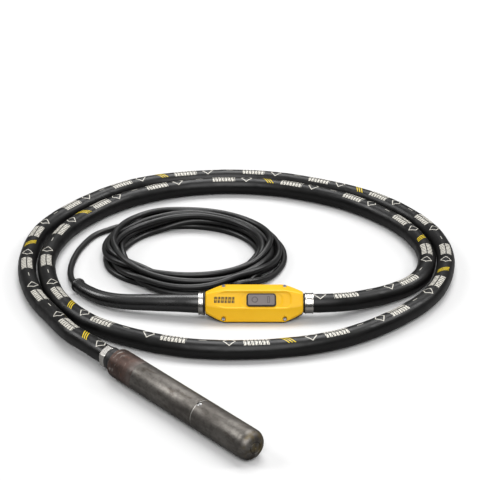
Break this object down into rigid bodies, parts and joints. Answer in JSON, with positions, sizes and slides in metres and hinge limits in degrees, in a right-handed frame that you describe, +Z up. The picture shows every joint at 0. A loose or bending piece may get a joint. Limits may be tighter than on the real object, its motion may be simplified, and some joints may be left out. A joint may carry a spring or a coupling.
{
  "type": "concrete vibrator",
  "caption": "Hand-held internal concrete vibrator: steel vibrating head on a rubber hose with an in-line rocker switch housing and a coiled supply cable.",
  "frame": {"origin": "on the floor under the middle of the switch housing, on the flat chamfer it lies on", "axes": "+X along the switch housing towards the hose, +Y from the housing towards the middle of the hose ring, +Z up"},
  "size_m": [0.9074, 1.2551, 0.0614],
  "materials": {
    "yellow_plastic": "moulded, satin yellow",
    "black_plastic": "moulded, fine grain",
    "rocker_plastic": "soft-touch grey brown",
    "seal_rubber": "smooth rubber",
    "hose_rubber": "wrapped rubber with a printed band",
    "sleeve_rubber": "smooth glossy rubber",
    "cable_rubber": "satin rubber sheath",
    "plated_steel": "bright plating",
    "ground_steel": "ground",
    "gunmetal_steel": "hardened, worn dark",
    "oxidised_steel": "heat-darkened brown",
    "lamination_steel": "stacked sheets",
    "brass": "turned",
    "copper_winding": "enamelled wire in varnish",
    "board": "lacquered laminate",
    "capacitor_can": "drawn can"
  },
  "bodies": {
    "base": {"upper_shell": "yellow_plastic", "lower_shell": "black_plastic", "switch_bezel": "black_plastic", "switch_module": "black_plastic", "terminal_block": "black_plastic", "cable_spigot": "black_plastic", "shell_gasket_back": "seal_rubber", "shell_gasket_front": "seal_rubber", "cable_side_ring": "seal_rubber", "hose_side_ring": "seal_rubber", "hose_main": "hose_rubber", "bend_sleeve": "sleeve_rubber", "supply_cable": "cable_rubber", "core_cable_main": "cable_rubber", "plug_body": "cable_rubber", "band_clamp": "plated_steel", "hose_ferrule": "plated_steel", "rocker_axle": "plated_steel", "housing_screw_1": "plated_steel", "housing_screw_2": "plated_steel", "housing_screw_3": "plated_steel", "housing_screw_4": "plated_steel", "hose_spigot": "brass", "plug_pin_upper": "brass", "plug_pin_lower": "brass", "circuit_board": "board", "capacitor_back": "capacitor_can", "capacitor_front": "capacitor_can"},
    "rocker": {"rocker_button": "rocker_plastic"},
    "flex_link": {"hose_link": "hose_rubber", "core_cable_link": "cable_rubber"},
    "head": {"hose_head_end": "hose_rubber", "core_cable_head": "cable_rubber", "hose_nipple": "brass", "hex_nut": "plated_steel", "neck_ring": "seal_rubber", "head_connector": "oxidised_steel", "head_tube": "gunmetal_steel", "head_tip": "gunmetal_steel", "locking_pin": "plated_steel", "rear_bearing_shield": "gunmetal_steel", "middle_bearing_shield": "gunmetal_steel", "stator_core": "lamination_steel", "winding_rear": "copper_winding", "winding_front": "copper_winding", "rear_bearing_outer_race": "ground_steel", "middle_bearing_outer_race": "ground_steel", "front_bearing_outer_race": "ground_steel"},
    "rotor": {"rotor_shaft": "ground_steel", "rotor_core": "lamination_steel", "eccentric_weight": "gunmetal_steel", "rear_bearing_inner_race": "ground_steel", "middle_bearing_inner_race": "ground_steel", "front_bearing_inner_race": "ground_steel"},
    "rear_rollers": {"rear_bearing_rollers": "ground_steel"},
    "middle_rollers": {"middle_bearing_rollers": "ground_steel"},
    "front_rollers": {"front_bearing_rollers": "ground_steel"}
  },
  "joints": [
    {"name": "rocker_tilt", "type": "hinge", "parent": "base", "child": "rocker", "pos_m": [0.014, -0.00955, 0.04137], "axis": [0, 0.7071, 0.7071], "range_deg": [-5, 5]},
    {"name": "hose_swing", "type": "hinge", "parent": "base", "child": "flex_link", "pos_m": [-0.35202, -0.12237, 0.0285], "axis": [0, 0, 1], "range_deg": [-20, 12]},
    {"name": "head_lift", "type": "hinge", "parent": "flex_link", "child": "head", "pos_m": [-0.31417, -0.16892, 0.0285], "axis": [-0.7759, -0.6309, 0], "range_deg": [0, 30]},
    {"name": "rotor_spin", "type": "hinge", "parent": "head", "child": "rotor", "pos_m": [-0.2536, -0.2434, 0.0285], "axis": [0.6309, -0.7759, 0], "continuous": true},
    {"name": "rear_rollers_spin", "type": "hinge", "parent": "head", "child": "rear_rollers", "pos_m": [-0.2536, -0.2434, 0.0285], "axis": [0.6309, -0.7759, 0], "continuous": true},
    {"name": "middle_rollers_spin", "type": "hinge", "parent": "head", "child": "middle_rollers", "pos_m": [-0.2536, -0.2434, 0.0285], "axis": [0.6309, -0.7759, 0], "continuous": true},
    {"name": "front_rollers_spin", "type": "hinge", "parent": "head", "child": "front_rollers", "pos_m": [-0.2536, -0.2434, 0.0285], "axis": [0.6309, -0.7759, 0], "continuous": true}
  ],
  "couplings": [
    {"joint": "rear_rollers_spin", "follows": "rotor_spin", "ratio": 0.3991},
    {"joint": "middle_rollers_spin", "follows": "rotor_spin", "ratio": 0.3536},
    {"joint": "front_rollers_spin", "follows": "rotor_spin", "ratio": 0.3536}
  ]
}
